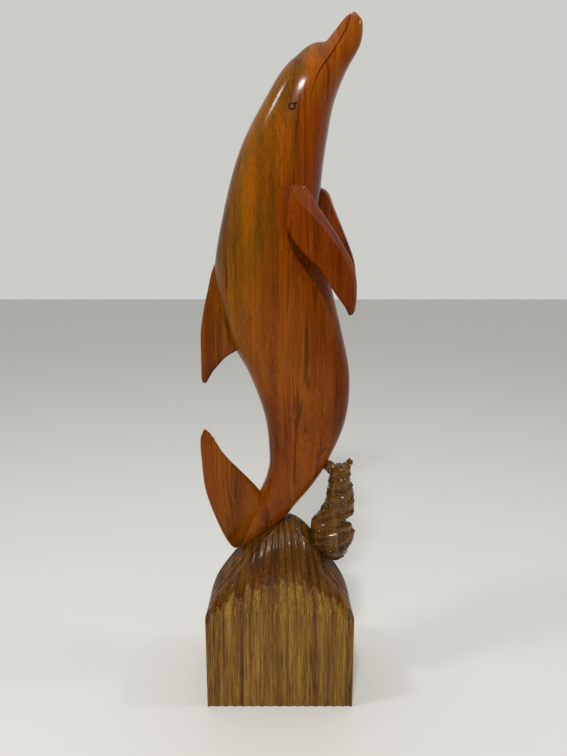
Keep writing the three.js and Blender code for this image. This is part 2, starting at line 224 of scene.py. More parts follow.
# The dolphin's body, beak to tail: back x and z, belly x and z, half thickness, and the
# twist in degrees that brings the belly towards the front.
BODY = [
    (101, 1059, 113, 1056, 6, 12), (92, 1052, 119, 1045, 12, 12),
    (74, 1031, 116, 1018, 18, 12), (53, 1008, 97, 985, 27, 12),
    (13, 988, 80, 943, 42, 12), (-20, 945, 71, 897, 50, 11),
    (-59, 873, 63, 835, 56, 9), (-86, 780, 60, 765, 59, 6),
    (-100, 690, 75, 694, 60, 3), (-83, 605, 96, 612, 57, 0),
    (-49, 541, 111, 536, 52, -2), (-24, 470, 106, 463, 44, -4),
    (-17, 405, 80, 396, 35, -6), (-20, 375, 57, 357, 31, -7),
    (-30, 347, 27, 320, 28, -8), (-57, 297, -17, 265, 22, -9),
    (-77, 259, -58, 242, 11, -10),
]
SECTION_POWER = 2.25


def power(value):
    """Squares off a sine or cosine a little, for a section that isn't quite an ellipse."""
    return math.copysign(abs(value) ** (2 / SECTION_POWER), value)


def body_frame(share):
    """A section's middle, its directions to the belly and the far side, and its half sizes."""
    back_x, back_z, belly_x, belly_z, half, twist = along(BODY, share)
    back = Vector((back_x, 0, back_z))
    belly = Vector((belly_x, 0, belly_z))
    turn = math.radians(twist)
    across = (belly - back).normalized()
    side = Vector((0, 1, 0))
    to_belly = across * math.cos(turn) - side * math.sin(turn)
    to_side = side * math.cos(turn) + across * math.sin(turn)
    return (back + belly) / 2, to_belly, to_side, (belly - back).length / 2, half


def skin_point(share, angle):
    """A point on the body. The angle starts at the belly; its sine is to the far side."""
    centre, to_belly, to_side, depth, half = body_frame(share)
    return MM * (centre + to_belly * (depth * power(math.cos(angle)))
                 + to_side * (half * power(math.sin(angle))))


# Where the body is pressed in beside a fin: the line's x and z, how deep, and how far
# to either side of it.
HOLLOWS = [
    (((10, 800), (9, 765), (17, 738), (34, 716), (54, 698)), 6, 13),
    (((-99, 700), (-94, 660), (-86, 626), (-77, 592), (-68, 575)), 8, 7),
]
# How far from the middle of its thickness, in metres, the body is pressed in fully.
HOLLOW_START = 0.03
BODY_RINGS = 150
BODY_SIDES = 88
# Where the body closes, and how large the closing rings are, outwards.
BEAK_POINT, BEAK_RINGS = Vector((107.5, 0, 1062)), (0.85, 0.6, 0.3)
TAIL_POINT, TAIL_RINGS = Vector((-74, 0, 244)), (0.5,)
# The forehead, in metres: its middle, and its half sizes towards the beak, the belly and the
# side. Then where on the body its directions are taken, how softly it joins, and where the
# head ends.
MELON_MIDDLE = Vector((0.036, 0.003, 0.968))
MELON_SIZES = (0.061, 0.031, 0.034)
MELON_AT = 0.22
MELON_SOFTNESS = 0.3
HEAD_END = 0.45


def nearness(p, line, reach):
    """1 on a line drawn on the front view and 0 far from it."""
    spot = Vector((p.x, p.z)) / MM
    nearest = 1e9
    for (ax, az), (bx, bz) in zip(line, line[1:]):
        a, step = Vector((ax, az)), Vector((bx - ax, bz - az))
        w = min(max((spot - a).dot(step) / step.length_squared, 0), 1)
        nearest = min(nearest, (spot - a - step * w).length)
    return math.exp(-(nearest / reach) ** 2)


def pressed(p):
    """The same point, moved in where it lies beside a fin."""
    for line, depth, reach in HOLLOWS:
        push = depth * MM * nearness(p, line, reach) * min(abs(p.y) / HOLLOW_START, 1)
        p.y -= math.copysign(push, p.y)
    return p


def melon_reach(centre, p):
    """How far out the forehead is on the line from a section's centre through p."""
    _, to_belly, to_side, _, _ = body_frame(MELON_AT)
    axes = (to_belly.cross(to_side), to_belly, to_side)
    start, step = (
        Vector([v.dot(axis) / size for axis, size in zip(axes, MELON_SIZES)])
        for v in (centre - MELON_MIDDLE, p - centre))
    a, b, c = step.length_squared, start.dot(step), start.length_squared - 1
    square = b * b - a * c
    return (math.sqrt(square) - b) / a if square > 0 else 0


def head_point(share, angle):
    """The skin with the forehead swelling out of it."""
    p = skin_point(share, angle)
    if share > HEAD_END:
        return p
    centre = body_frame(share)[0] * MM
    reach = melon_reach(centre, p)
    soft = max(MELON_SOFTNESS - abs(reach - 1), 0) / MELON_SOFTNESS
    return centre + (p - centre) * (max(reach, 1) + soft * soft * MELON_SOFTNESS / 4)


def closing_rings(ring, point, shares):
    """Ever smaller copies of an end ring, each drawn in from the one before."""
    copies = []
    before = 1
    for share in shares:
        ring = [(point * MM).lerp(p, share / before) for p in ring]
        copies.append(ring)
        before = share
    return copies


def make_body():
    rings = [
        [pressed(head_point(r / (BODY_RINGS - 1), i / BODY_SIDES * 2 * math.pi))
         for i in range(BODY_SIDES)]
        for r in range(BODY_RINGS)
    ]
    beak = closing_rings(rings[0], BEAK_POINT, BEAK_RINGS)
    tail = closing_rings(rings[-1], TAIL_POINT, TAIL_RINGS)
    return loft("dolphin_carving", beak[::-1] + rings + tail)


# Fins. A blade is lofted from root to tip. Its outline gives shares of the chord from the
# leading edge, and of half the thickness, outwards first.
LENS = [
    (0, 0), (0.01, 0.3), (0.04, 0.55), (0.1, 0.78), (0.2, 0.94), (0.35, 1), (0.55, 0.98),
    (0.75, 0.8), (0.9, 0.5), (0.97, 0.25), (1, 0), (0.97, -0.25), (0.9, -0.5), (0.75, -0.8),
    (0.55, -0.98), (0.35, -1), (0.2, -0.94), (0.1, -0.78), (0.04, -0.55), (0.01, -0.3),
]
# The same for the flippers, with their bevel drawn in the first tenth.
BEVELLED = [
    (0, -0.3), (0.001, -0.05), (0.008, 0.12), (0.03, 0.33), (0.06, 0.6), (0.09, 0.88),
    (0.099, 0.98), (0.106, 1), (0.25, 1), (0.4, 1), (0.55, 1), (0.7, 1), (0.85, 1), (0.96, 0.99),
    (0.99, 0.88), (1, 0.65), (1, 0.2), (1, -0.3), (0.98, -0.8), (0.85, -1), (0.6, -1),
    (0.3, -1), (0.1, -0.8), (0.02, -0.6),
]
DRAWN_BEVEL = 0.1
BLADE_RINGS = 30
# The tip's roundness: how far it reaches, in chords, and the angles of its rings.
TIP_REACH = 0.35
TIP_ANGLES = (0.5, 0.9, 1.2, 1.45)


def make_blade(name, stations, outward, outline):
    """Stations: leading edge x, y, z, trailing edge x, y, z, half the thickness, bevel."""
    sections = []
    for r in range(BLADE_RINGS):
        row = along(stations, r / (BLADE_RINGS - 1))
        lead, trail, half = Vector(row[0:3]), Vector(row[3:6]), row[6]
        bevel = row[7] if len(row) > 7 else DRAWN_BEVEL
        section = []
        for share, depth in outline:
            if share < DRAWN_BEVEL:
                share *= bevel / DRAWN_BEVEL
            else:
                share = bevel + (share - DRAWN_BEVEL) * (1 - bevel) / (1 - DRAWN_BEVEL)
            thickness = Vector((0, outward * half * depth, 0))
            section.append((lead.lerp(trail, share) + thickness) * MM)
        sections.append(section)
    tip = sections[-1]
    middle = sum(tip, Vector()) / len(tip)
    onward = (middle - sum(sections[-2], Vector()) / len(tip)).normalized()
    reach = (lead - trail).length * MM * TIP_REACH
    for angle in TIP_ANGLES:
        sections.append([middle.lerp(p, math.cos(angle)) + onward * (reach * math.sin(angle))
                         for p in tip])
    return loft(name, sections)


# Height, leading edge x, trailing edge x, half thickness.
DORSAL_FIN = [
    (716, -97, -60, 3), (698, -105, -56, 6), (669, -112, -50, 8), (640, -119, -48, 9),
    (610, -124, -50, 9), (590, -125, -56, 9), (577, -125, -66, 8), (566, -125, -84, 8),
    (553, -125, -97, 7), (541, -125, -107, 6), (531, -125, -113, 5), (526, -124, -116, 4),
]


def make_dorsal_fin():
    stations = [(front, 0, z, rear, 0, z, half) for z, front, rear, half in DORSAL_FIN]
    return make_blade("dorsal_fin", stations, 1, LENS)


# Leading edge x and z, trailing edge x and z, how far the middle stands out, half thickness,
# and the share of the chord that the bevel takes.
FLIPPER = [
    (21, 829, 14, 808, 49, 9, 0.6), (33, 825, 13, 787, 47, 19, 0.55),
    (45, 809, 11, 759, 47, 24, 0.38), (57, 789, 22, 738, 50, 23, 0.28),
    (73, 765, 38, 720, 56, 19, 0.22), (90, 738, 55, 704, 63, 14, 0.2),
    (103, 714, 70, 683, 67, 11, 0.2), (110, 689, 83, 664, 70, 9, 0.2),
    (111, 662, 94, 649, 71, 7, 0.2), (109, 645, 99, 639, 71.5, 5, 0.22),
]
FLIPPER_ROOT = (25, 800)
# The far flipper is turned and moved, and its root is sunk deeper. Its top corner is lower.
FAR_FLIPPER_TURN = 7
FAR_FLIPPER_SHIFT = (29.8, 10)
FAR_FLIPPER_INSET, FAR_FLIPPER_INSET_POWER = 30, 1.4
FAR_FLIPPER_DROP, FAR_FLIPPER_LOWERED = 10, 2


def make_flipper(outward):
    far = outward > 0
    turn = math.radians(FAR_FLIPPER_TURN if far else 0)
    shift_x, shift_z = FAR_FLIPPER_SHIFT if far else (0, 0)

    def placed(x, z, out):
        dx, dz = x - FLIPPER_ROOT[0], z - FLIPPER_ROOT[1]
        return (FLIPPER_ROOT[0] + shift_x + dx * math.cos(turn) + dz * math.sin(turn),
                outward * out,
                FLIPPER_ROOT[1] + shift_z - dx * math.sin(turn) + dz * math.cos(turn))

    last = len(FLIPPER) - 1
    stations = []
    for i, (lead_x, lead_z, trail_x, trail_z, out, half, bevel) in enumerate(FLIPPER):
        inset = FAR_FLIPPER_INSET * (1 - i / last) ** FAR_FLIPPER_INSET_POWER if far else 0
        drop = FAR_FLIPPER_DROP if far and i < FAR_FLIPPER_LOWERED else 0
        stations.append((*placed(lead_x, lead_z - drop, out - inset),
                         *placed(trail_x, trail_z, out - inset), half, bevel))
    return make_blade("flipper", stations, outward, BEVELLED)


# The same columns, from the fluke's root in the tail to its tip.
FLUKE = [
    (-20, 318, -62, 246, 3, 12), (-33, 346, -76, 244, 12, 13), (-48, 369, -89, 268, 24, 12),
    (-63, 390, -101, 304, 36, 10), (-77, 409, -111, 340, 46, 8), (-88, 426, -117, 372, 54, 7),
    (-98, 446, -119, 410, 61, 6), (-105, 459, -120, 446, 65, 4), (-110, 464, -116, 461, 66, 2),
]
# How far the far fluke's tip is lowered, the share of it that its trailing edge takes, and
# how early the drop begins.
FAR_FLUKE_DROP, FAR_FLUKE_TRAILING, FAR_FLUKE_EASE = 80, 0.6, 0.6


def make_fluke(outward):
    last = len(FLUKE) - 1
    full_drop = FAR_FLUKE_DROP if outward > 0 else 0
    stations = []
    for i, (lead_x, lead_z, trail_x, trail_z, out, half) in enumerate(FLUKE):
        drop = full_drop * (i / last) ** FAR_FLUKE_EASE
        later = max(i - 1, 0) / (last - 1)
        trail_drop = full_drop * FAR_FLUKE_TRAILING * later ** FAR_FLUKE_EASE
        stations.append((lead_x, outward * out, lead_z - drop,
                         trail_x, outward * out, trail_z - trail_drop, half))
    return make_blade("fluke", stations, outward, LENS)


# Grooves and the eye: drawn by share of the way from beak to tail and angle from the belly.
LIPS = [
    (0.02, 116), (0.044, 109), (0.099, 95), (0.147, 91), (0.193, 83), (0.23, 75),
    (0.257, 70), (0.281, 68), (0.3, 68),
]
# The rest is in metres. The mouth's split in the tip of the beak, the gouge's half width and
# depth, and how much of them is left at the groove's ends.
BEAK_SPLIT = [Vector((0.1025, -0.003, 1.06)), Vector((0.1025, 0.003, 1.06))]
LIP_WIDTH, LIP_DEPTH, LIP_END = 0.0013, 0.0027, 0.15
LIP_STEPS = 90
EYE = (0.314, 89)
EYE_RADIUS, EYE_GOUGE = 0.0044, 0.0011
# The stroke at the eye's corner: its half widths and depths, how far they are apart, and how
# far from the ring it starts.
TICK_WIDTHS = (0.0009, 0.0009, 0.0008, 0.0006, 0.0003)
TICK_DEPTHS = (0.0011, 0.0011, 0.0009, 0.0007, 0.0004)
TICK_STEP, TICK_START = 0.0009, 0.0012


def on_skin(piece, p):
    """The nearest point of the skin, and the way out of it."""
    _, place, normal, _ = piece.closest_point_on_mesh(p)
    return place, normal


def tube(name, path, widths, depths, normals, sides=8):
    """A thin rod along a path that lies in the skin."""
    rings = []
    for k, p in enumerate(path):
        ahead = path[min(k + 1, len(path) - 1)] - path[max(k - 1, 0)]
        across = normals[k].cross(ahead).normalized()
        rings.append([
            p + across * (widths[k] * math.cos(a)) + normals[k] * (depths[k] * math.sin(a))
            for a in (i / sides * 2 * math.pi for i in range(sides))
        ])
    return loft(name, rings)


def make_lip_cutter(piece):
    near = [skin_point(t, -math.radians(a)) for t, a in LIPS]
    far = [skin_point(t, math.radians(a)) for t, a in LIPS]
    drawn = [tuple(p) for p in near[::-1] + BEAK_SPLIT + far]
    path, normals, widths, depths = [], [], [], []
    for k in range(LIP_STEPS):
        share = k / (LIP_STEPS - 1)
        place, normal = on_skin(piece, Vector(along(drawn, share)))
        fade = min(1, LIP_END + 6 * min(share, 1 - share))
        path.append(place)
        normals.append(normal)
        widths.append(LIP_WIDTH * fade)
        depths.append(LIP_DEPTH * fade)
    return tube("lip_gouge", path, widths, depths, normals)


def make_eye_cutters(piece, outward):
    place, normal = on_skin(piece, skin_point(EYE[0], outward * math.radians(EYE[1])))
    deselect_all()
    bpy.ops.mesh.primitive_torus_add(major_segments=40, minor_segments=10,
                                     major_radius=EYE_RADIUS, minor_radius=EYE_GOUGE)
    ring = bpy.context.object
    up = Vector((0, 0, 1))
    sideways = up.cross(normal).normalized()
    turn = Matrix((sideways, normal.cross(sideways), normal)).transposed().to_4x4()
    ring.data.transform(Matrix.Translation(place) @ turn)
    corner = (sideways * (0.7 * -outward) + up * 0.5).normalized()
    landed = [on_skin(piece, place + corner * (EYE_RADIUS + TICK_START + TICK_STEP * k))
              for k in range(len(TICK_WIDTHS))]
    tick = tube("eye_tick", [p for p, _ in landed], TICK_WIDTHS, TICK_DEPTHS,
                [n for _, n in landed])
    return [ring, tick]


def make_dolphin():
    dolphin = make_body()
    fins = [make_dorsal_fin()]
    for outward in (-1, 1):
        fins += [make_flipper(outward), make_fluke(outward)]
    for fin in fins:
        combine(dolphin, fin, "UNION")
    gouges = make_eye_cutters(dolphin, -1) + make_eye_cutters(dolphin, 1)
    gouges.append(make_lip_cutter(dolphin))
    for gouge in gouges:
        combine(dolphin, gouge, "DIFFERENCE")
    choose(dolphin)
    bpy.ops.object.shade_smooth_by_angle(angle=math.radians(35))
    return dolphin


# The base. The dome's outline from the front: shares of its height, and how far out its left
# and right sides are there, in half widths of the block.
BASE_WIDTH, BASE_DEPTH = 236, 165
BLOCK_HEIGHT, REAR_DROP, DOME_HEIGHT = 158, 30, 297
FLUTES_WIDE, FLUTES_DEEP = 16, 10
DOME_OUTLINE = [
    (0, -1, 1), (0.08, -0.995, 0.99), (0.17, -0.97, 0.965), (0.28, -0.91, 0.9),
    (0.4, -0.81, 0.81), (0.52, -0.69, 0.7), (0.64, -0.55, 0.6), (0.75, -0.41, 0.5),
    (0.85, -0.25, 0.4), (0.94, -0.08, 0.26), (1, 0.07, 0.09),
]
DOME_FULLNESS = 2.2
# Seen from above, the dome turns from a rectangle into a rounder shape by half its height.
PLAN_ROUNDNESS = 2.4
ROUND_AT = 0.5
FLUTE_POINTS = 12
# The flutes deepen between two heights and are shallower at the block's upright corners.
BLOCK_FLUTE_DEPTH, DOME_FLUTE_DEPTH = 1.3, 3
DEEPER_FROM, DEEPEST_AT = 150, 205
CORNER_FLUTE, CORNER_REACH = 0.35, 0.06
FLUTE_NARROWING, FLUTE_NARROWING_POWER = 0.42, 1.3
FLUTE_TOTAL = 2 * (FLUTES_WIDE + FLUTES_DEEP)
# How finely the block is drawn, where the dome's last ring is, and the steps by which its
# slope is felt.
WALL_LEVELS = (0, 0.25, 0.5, 0.75)
DOME_RINGS, LAST_DOME_RING = 50, 0.985
FELT_ASIDE, FELT_UP = 0.3, 0.03


def smoothstep(value, low, high):
    w = min(max((value - low) / (high - low), 0), 1)
    return w * w * (3 - 2 * w)


def mix(a, b, w):
    return a + (b - a) * w


def wall_point(flutes):
    """A point on the wall's outline, counted in flutes from the middle of the right side."""
    corner = FLUTES_DEEP / 2
    f = flutes % FLUTE_TOTAL
    if f < corner:
        return 1, f / corner
    if f < corner + FLUTES_WIDE:
        return 1 - 2 * (f - corner) / FLUTES_WIDE, 1
    g = f - corner - FLUTES_WIDE
    if g < FLUTES_DEEP:
        return -1, 1 - 2 * g / FLUTES_DEEP
    if g < FLUTES_DEEP + FLUTES_WIDE:
        return -1 + 2 * (g - FLUTES_DEEP) / FLUTES_WIDE, -1
    return 1, -1 + 2 * (g - FLUTES_DEEP - FLUTES_WIDE) / FLUTES_DEEP


def dome_point(flutes, climb):
    """The plain dome, from the top of the wall at climb 0 to the peak at climb 1."""
    across, deep = wall_point(flutes)
    rise, left, right = along(DOME_OUTLINE, climb)
    back = max(1 - rise ** DOME_FULLNESS, 0) ** (1 / DOME_FULLNESS)
    square = (abs(across) ** PLAN_ROUNDNESS + abs(deep) ** PLAN_ROUNDNESS) ** (
        -1 / PLAN_ROUNDNESS)
    rounded = mix(1, square, smoothstep(rise, 0, ROUND_AT))
    return Vector((
        BASE_WIDTH / 2 * ((left + right) / 2 + (right - left) / 2 * across * rounded),
        BASE_DEPTH / 2 * deep * rounded * back,
        mix(BLOCK_HEIGHT - REAR_DROP * (deep + 1) / 2, DOME_HEIGHT, rise)))


def narrowing(z):
    """How narrow the flutes are at a height, as a share of their width on the block."""
    share = min(max((z - BLOCK_HEIGHT) / (DOME_HEIGHT - BLOCK_HEIGHT), 0), 1)
    return 1 - FLUTE_NARROWING * share ** FLUTE_NARROWING_POWER


def fluted_point(flutes, climb):
    """The same point cut back by the gouge: shallow up the block, deep over the dome."""
    across, deep = wall_point(flutes)
    p = dome_point(flutes, climb)
    aside = dome_point(flutes + FELT_ASIDE, climb) - dome_point(flutes - FELT_ASIDE, climb)
    upwards = dome_point(flutes, min(climb + FELT_UP, 1)) - dome_point(
        flutes, max(climb - FELT_UP, 0))
    inwards = upwards.cross(aside).normalized()
    if abs(deep) >= abs(across):
        place, width, corner = p.x, BASE_WIDTH / FLUTES_WIDE, 1 - abs(across)
    else:
        place, width, corner = p.y, BASE_DEPTH / FLUTES_DEEP, 1 - abs(deep)
    share = (place / width / narrowing(p.z)) % 1
    scoop = 1 - abs(2 * share - 1) ** 2
    depth = mix(BLOCK_FLUTE_DEPTH, DOME_FLUTE_DEPTH, smoothstep(p.z, DEEPER_FROM, DEEPEST_AT))
    return p + inwards * (
        scoop * depth * mix(CORNER_FLUTE, 1, smoothstep(corner, 0, CORNER_REACH)))


def make_block():
    sides = FLUTE_TOTAL * FLUTE_POINTS
    climbs = [k / DOME_RINGS * LAST_DOME_RING for k in range(DOME_RINGS + 1)]
    rings = [[fluted_point(i / FLUTE_POINTS, climb) * MM for i in range(sides)]
             for climb in climbs]
    foot = rings[0]
    walls = [[Vector((p.x, p.y, p.z * level)) for p in foot] for level in WALL_LEVELS]
    block = loft("fluted_block", walls + rings)
    choose(block)
    bpy.ops.object.shade_smooth_by_angle(angle=math.radians(60))
    return block


# The coral, in millimetres from the middle of its foot: height, left, right, half depth.
CORAL_PLACE = Vector((88, -11, 224))
CORAL_SECTIONS = [
    (2, -9, 15, 12), (12, -22, 23, 24), (22, -30, 27, 30), (34, -36, 32, 34),
    (46, -38, 37, 35), (59, -38, 33, 33), (68, -36, 23, 29), (76, -31, 23, 27),
    (82, -26, 34, 26), (92, -20, 35, 25), (106, -14, 35, 24), (124, -11, 33, 22),
    (141, -9, 28, 20), (156, -7, 28, 18), (166, -2, 23, 14),
]
# Middle x, y and z, half sizes the same way, and a lean in degrees.
CORAL_PRONGS = [(-6, 3, 160, 19, 11, 10, 42), (24, -1, 167, 6, 8, 11, 8)]
CORAL_RINGS, CORAL_SIDES = 48, 40
# How fine the coral's skin is, in metres, and how much it is sanded before and after it is cut.
CORAL_GRAIN = 0.0014
SANDED_BEFORE, SANDED_AFTER = 14, 4
# The folds are this far apart, slant by these shares of x and y, and sway up and down. They
# are cut this deep, and the ragged hollows among them this much deeper.
FOLD_HEIGHT, FOLD_SLANT_X, FOLD_SLANT_Y = 20, -0.35, 0.3
FOLD_SWAY, SWAY_LENGTH = 18, 45
FOLD_DEPTH, PIT_DEPTH = 4.4, 2.6
# The size of the hollows, and where their pattern starts.
PIT_SIZE, PIT_START = (26, 26, 19), Vector((4, 0, 2))


def make_column():
    rings = []
    for r in range(CORAL_RINGS):
        z, left, right, half = along(CORAL_SECTIONS, r / (CORAL_RINGS - 1))
        rings.append([
            (CORAL_PLACE + Vector(((left + right) / 2 + (right - left) / 2 * math.cos(a),
                                   half * math.sin(a), z))) * MM
            for a in (i / CORAL_SIDES * 2 * math.pi for i in range(CORAL_SIDES))])
    return loft("coral_column", rings)


def make_prong(x, y, z, half_x, half_y, half_z, lean):
    deselect_all()
    bpy.ops.mesh.primitive_ico_sphere_add(subdivisions=4, radius=1)
    prong = bpy.context.object
    prong.data.transform(
        Matrix.Translation((CORAL_PLACE + Vector((x, y, z))) * MM)
        @ Matrix.Rotation(math.radians(lean), 4, "Y")
        @ Matrix.Diagonal((half_x * MM, half_y * MM, half_z * MM, 1)))
    return prong


def gouge_coral(coral):
    """Slanting folds and ragged hollows, cut into the skin and never built up."""
    moves = []
    for vert in coral.data.vertices:
        p = vert.co / MM
        sway = noise.noise(p / SWAY_LENGTH) * FOLD_SWAY
        climb = (p.z + FOLD_SLANT_X * p.x + FOLD_SLANT_Y * p.y + sway) / FOLD_HEIGHT
        shelf = 0.5 + 0.5 * math.cos(2 * math.pi * (climb % 1) ** 0.7)
        spot = Vector([c / size for c, size in zip(p, PIT_SIZE)])
        to_pits, _ = noise.voronoi(spot + PIT_START)
        pit = min((to_pits[1] - to_pits[0]) * 1.3, 1)
        moves.append(-(FOLD_DEPTH * (1 - shelf) + PIT_DEPTH * pit) * MM)
    for vert, move in zip(coral.data.vertices, moves):
        vert.co += vert.normal * move


def make_coral():
    coral = join("coral_carving",
                 [make_column()] + [make_prong(*prong) for prong in CORAL_PRONGS])
    one_skin(coral, CORAL_GRAIN, SANDED_BEFORE)
    gouge_coral(coral)
    finish_with(coral, "SMOOTH", factor=0.5, iterations=SANDED_AFTER)
    choose(coral)
    bpy.ops.object.shade_smooth_by_angle(angle=math.radians(50))
    return coral


# Wood

class Nodes:
    """A material's node tree, and short ways to add to it."""

    def __init__(self, name):
        self.material = bpy.data.materials.new(name)
        self.material.use_nodes = True
        self.tree = self.material.node_tree
        self.shader = self.tree.nodes["Principled BSDF"]
        self.place = self.add("ShaderNodeTexCoord").outputs["Object"]

    def add(self, kind, **settings):
        node = self.tree.nodes.new(kind)
        for key, value in settings.items():
            setattr(node, key, value)
        return node

    def feed(self, socket, value):
        if isinstance(value, bpy.types.NodeSocket):
            self.tree.links.new(value, socket)
        elif value is not None:
            socket.default_value = value

    def mapped(self, scale, location=(0, 0, 0)):
        node = self.add("ShaderNodeMapping")
        self.feed(node.inputs["Vector"], self.place)
        self.feed(node.inputs["Scale"], scale)
        self.feed(node.inputs["Location"], location)
        return node.outputs["Vector"]

    def noise(self, vector, scale, detail=3.0, roughness=0.5, distortion=0.0):
        node = self.add("ShaderNodeTexNoise")
        self.feed(node.inputs["Vector"], vector)
        self.feed(node.inputs["Scale"], scale)
        self.feed(node.inputs["Detail"], detail)
        self.feed(node.inputs["Roughness"], roughness)
        self.feed(node.inputs["Distortion"], distortion)
        return node.outputs["Fac"]

    def maths(self, operation, a, b=None, c=None):
        node = self.add("ShaderNodeMath", operation=operation)
        for socket, value in zip(node.inputs, (a, b, c)):
            self.feed(socket, value)
        return node.outputs["Value"]

    def ranged(self, value, low, high, new_low=0.0, new_high=1.0, smooth=True):
        node = self.add("ShaderNodeMapRange",
                        interpolation_type="SMOOTHSTEP" if smooth else "LINEAR")
        for name, number in (("Value", value), ("From Min", low), ("From Max", high),
                             ("To Min", new_low), ("To Max", new_high)):
            self.feed(node.inputs[name], number)
        return node.outputs["Result"]

    def ramp(self, value, stops):
        node = self.add("ShaderNodeValToRGB")
        self.feed(node.inputs["Fac"], value)
        elements = node.color_ramp.elements
        while len(elements) < len(stops):
            elements.new(0.5)
        for element, (position, colour) in zip(elements, stops):
            element.position = position
            element.color = (*colour, 1)
        return node.outputs["Color"]

    def mixed(self, a, b, share, blend="MIX"):
        """Two colours mixed. Its inputs 0, 6 and 7 are the share and the two colours."""
        node = self.add("ShaderNodeMix", data_type="RGBA", blend_type=blend)
        self.feed(node.inputs[0], share)
        self.feed(node.inputs[6], a if isinstance(a, bpy.types.NodeSocket) else (*a, 1))
        self.feed(node.inputs[7], b if isinstance(b, bpy.types.NodeSocket) else (*b, 1))
        return node.outputs[2]

    def xyz(self):
        """The piece's own x, y and z, in metres."""
        node = self.add("ShaderNodeSeparateXYZ")
        self.feed(node.inputs["Vector"], self.place)
        return node.outputs

    def times(self, *values):
        """All the values multiplied together."""
        product = values[0]
        for value in values[1:]:
            product = self.maths("MULTIPLY", product, value)
        return product

    def bumped(self, height, strength, distance):
        node = self.add("ShaderNodeBump")
        self.feed(node.inputs["Height"], height)
        self.feed(node.inputs["Strength"], strength)
        self.feed(node.inputs["Distance"], distance)
        self.feed(self.shader.inputs["Normal"], node.outputs["Normal"])


def grain(n, wide, tall):
    """Streaks that run up the wood: finer across than along."""
    return n.mapped((1 / wide, 1 / wide, 1 / tall))


# The varnished wood's tones, each dark, middle and light, and where on the grain they are.
TONE_STOPS = (0.4, 0.49, 0.58)
GOLDEN = ((0.086, 0.025, 0.001), (0.175, 0.06, 0.002), (0.27, 0.1, 0.0035))
ORANGE = ((0.108, 0.019, 0.0006), (0.225, 0.047, 0.001), (0.34, 0.09, 0.002))
RED = ((0.072, 0.009, 0.0004), (0.145, 0.02, 0.0006), (0.22, 0.038, 0.001))
DARK_LINE, DARK_PORE, BURNT = (0.045, 0.009, 0.001), (0.05, 0.012, 0.002), (0.01, 0.004, 0.002)
# What is stained dark round the eyes, in metres: place along, out to each side and up, inner
# radius and outer radius. The ring comes first, then the stroke at its corner.
EYES = [(0.0175, 0.05, 0.9235, 0.0031, 0.0056), (0.0225, 0.0495, 0.9275, 0, 0.0018),
        (0.0242, 0.0493, 0.9285, 0, 0.0015)]
# The base's tones, each a place on the grain and a colour, bare and under varnish.
BARE_WOOD = [(0.41, (0.09, 0.034, 0.003)), (0.47, (0.2, 0.086, 0.0085)),
             (0.53, (0.285, 0.132, 0.014)), (0.6, (0.42, 0.225, 0.032))]
VARNISHED_BASE = [(0.38, (0.036, 0.011, 0.0008)), (0.47, (0.09, 0.03, 0.002)),
                  (0.54, (0.14, 0.05, 0.0035)), (0.64, (0.21, 0.086, 0.008))]
AMBER, HOLLOW_SHADE, BASE_PORE = (0.58, 0.44, 0.13), (0.022, 0.008, 0.002), (0.03, 0.011, 0.002)
# The edge of the varnish on the block, in metres: its height in the middle, how fast the arch
# falls to the sides, and how far the brush strokes wander.
VARNISH_HEIGHT, VARNISH_ARCH, BRUSH_WANDER = 0.216, -4.6, 0.045


def iso_lines(n, value, level, width):
    """Thin lines along which a smooth value crosses a level."""
    gap = n.maths("ABSOLUTE", n.maths("SUBTRACT", value, level))
    return n.ranged(gap, width, width * 0.3)


def weighted(n, *pairs):
    """The sum of values times their weights."""
    total = 0.0
    for value, weight in pairs:
        total = n.maths("MULTIPLY_ADD", value, weight, total)
    return total


def red_and_gold(n, tone, cloud, bands):
    """Golden on the left of the chest and head and in patches, red along the belly's edge. These
    are partly the wood's own tones and partly painted light: the gold is painted light on the
    left and upper side that the lamps reach, and the darker red is painted shade along the belly
    side.
    """
    golden, orange, red = (n.ramp(tone, list(zip(TONE_STOPS, shades)))
                           for shades in (GOLDEN, ORANGE, RED))
    x, y, z = n.xyz()
    lean = n.ranged(z, 0.8, 1.06, 0, 0.085)
    beside = n.maths("SUBTRACT", x, lean)
    wander = weighted(n, (cloud, 0.22), (bands, 0.14), (beside, 1.0))
    # Gold on the left and higher up: partly the wood's own tone, partly painted light on the
    # side the lamps reach.
    gold_and_lit_side = n.times(n.ranged(wander, 0.185, 0.125), n.ranged(z, 0.5, 0.76, 0.15, 1))
    chest = n.maths("MULTIPLY_ADD", n.ranged(z, 0.62, 0.74), 0.65, 0.25)
    below_head = n.ranged(z, 0.99, 0.9, 0.25, 1)
    # Darker red towards the belly: partly the wood's own tone, partly painted shade on the side
    # turned away from the lamps.
    belly_red_and_shade = n.times(n.ranged(wander, 0.185, 0.235), n.times(below_head, chest))
    flipper = n.times(n.ranged(n.maths("ABSOLUTE", y), 0.058, 0.066),
                      n.ranged(x, -0.01, 0.012, 0, 0.75))
    back_fin = n.times(n.ranged(x, -0.088, -0.106), 0.55)
    # The red mask carries the painted shade of the belly side along with the fins' own red.
    ruddy_and_shade = n.maths("MAXIMUM", n.maths("MAXIMUM", belly_red_and_shade, flipper), back_fin)
    return n.mixed(n.mixed(orange, golden, gold_and_lit_side), red, ruddy_and_shade)


def growth_lines(n, colour):
    """Dark lines, a few of them long, and short pores."""
    rings = n.noise(n.mapped((1 / 0.021, 1 / 0.06, 1 / 1.3), (3.1, 0, 0)), 1.0, 1.0, 0.4)
    lines = n.maths("ADD", iso_lines(n, rings, 0.5, 0.016),
                    n.times(iso_lines(n, rings, 0.38, 0.02), 0.7))
    broken = n.ranged(n.noise(grain(n, 0.006, 0.12), 1.0, 2.0), 0.36, 0.5)
    colour = n.mixed(colour, DARK_LINE, n.times(lines, broken, 0.62))
    pores = n.ranged(n.noise(grain(n, 0.0008, 0.011), 1.0, 1.0), 0.66, 0.76)
    return n.mixed(colour, DARK_PORE, n.times(pores, 0.5))


